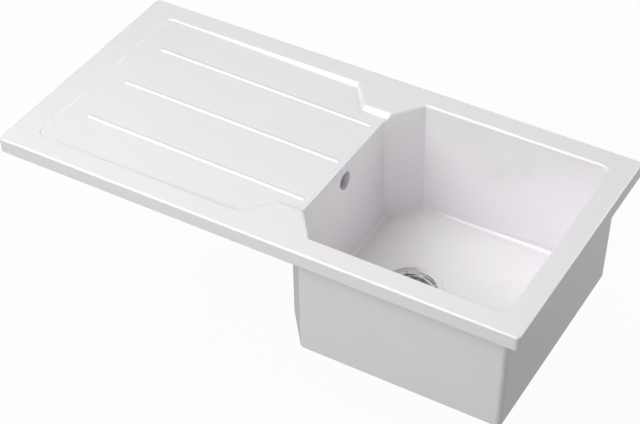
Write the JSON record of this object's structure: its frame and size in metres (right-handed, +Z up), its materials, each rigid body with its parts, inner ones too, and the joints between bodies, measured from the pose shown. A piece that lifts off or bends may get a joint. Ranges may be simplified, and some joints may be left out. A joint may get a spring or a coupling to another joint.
{
  "type": "kitchen sink with drainboard",
  "caption": "White glazed ceramic inset kitchen sink: deep rectangular bowl on the right, ribbed sloping drainboard on the left, basket strainer and overflow fittings under the bowl.",
  "frame": {"origin": "On the worktop surface, under the middle of the sink's rectangular plan outline.", "axes": "+X along the long side, from the drainboard to the bowl. +Y towards the back, away from the user. +Z up, out of the worktop."},
  "size_m": [1, 0.5, 0.341],
  "materials": {
    "white_glaze": "glossy white glaze on fireclay, unglazed only on the foot of the rim",
    "sealing_foam": "closed-cell foam strip, matte",
    "pressed_steel": "pressed stainless sheet with a fine turned brushing",
    "turned_steel": "turned stainless bar",
    "polished_knob": "bright plated",
    "black_rubber": "moulded rubber, satin",
    "waste_plastic": "white moulded polypropylene, slightly grained",
    "pipe_plastic": "white drawn pipe, smooth",
    "nut_plastic": "grey moulded nuts",
    "guide_plastic": "dark moulded bush",
    "brass_bush": "turned brass"
  },
  "bodies": {
    "sink": {"sink_body": "white_glaze", "rim_seal": "sealing_foam", "strainer_flange": "pressed_steel", "flange_gasket": "black_rubber", "body_gasket": "black_rubber", "strainer_housing": "waste_plastic", "clamp_screw": "turned_steel", "screw_insert": "brass_bush", "overflow_elbow": "waste_plastic", "overflow_sleeve_seal": "black_rubber", "overflow_pipe": "pipe_plastic", "elbow_nut": "nut_plastic", "elbow_washer": "black_rubber", "inlet_nut": "nut_plastic", "inlet_washer": "black_rubber"},
    "basket": {"basket": "pressed_steel", "stem_guide": "guide_plastic"},
    "stopper": {"stopper_stem": "turned_steel", "stopper_seal": "black_rubber", "stopper_knob": "polished_knob"}
  },
  "joints": [
    {"name": "basket_lift", "type": "slide", "parent": "sink", "child": "basket", "axis": [0, 0, 1], "range_m": [0, 0.3]},
    {"name": "stopper_lift", "type": "slide", "parent": "basket", "child": "stopper", "axis": [0, 0, 1], "range_m": [0, 0.008]}
  ]
}
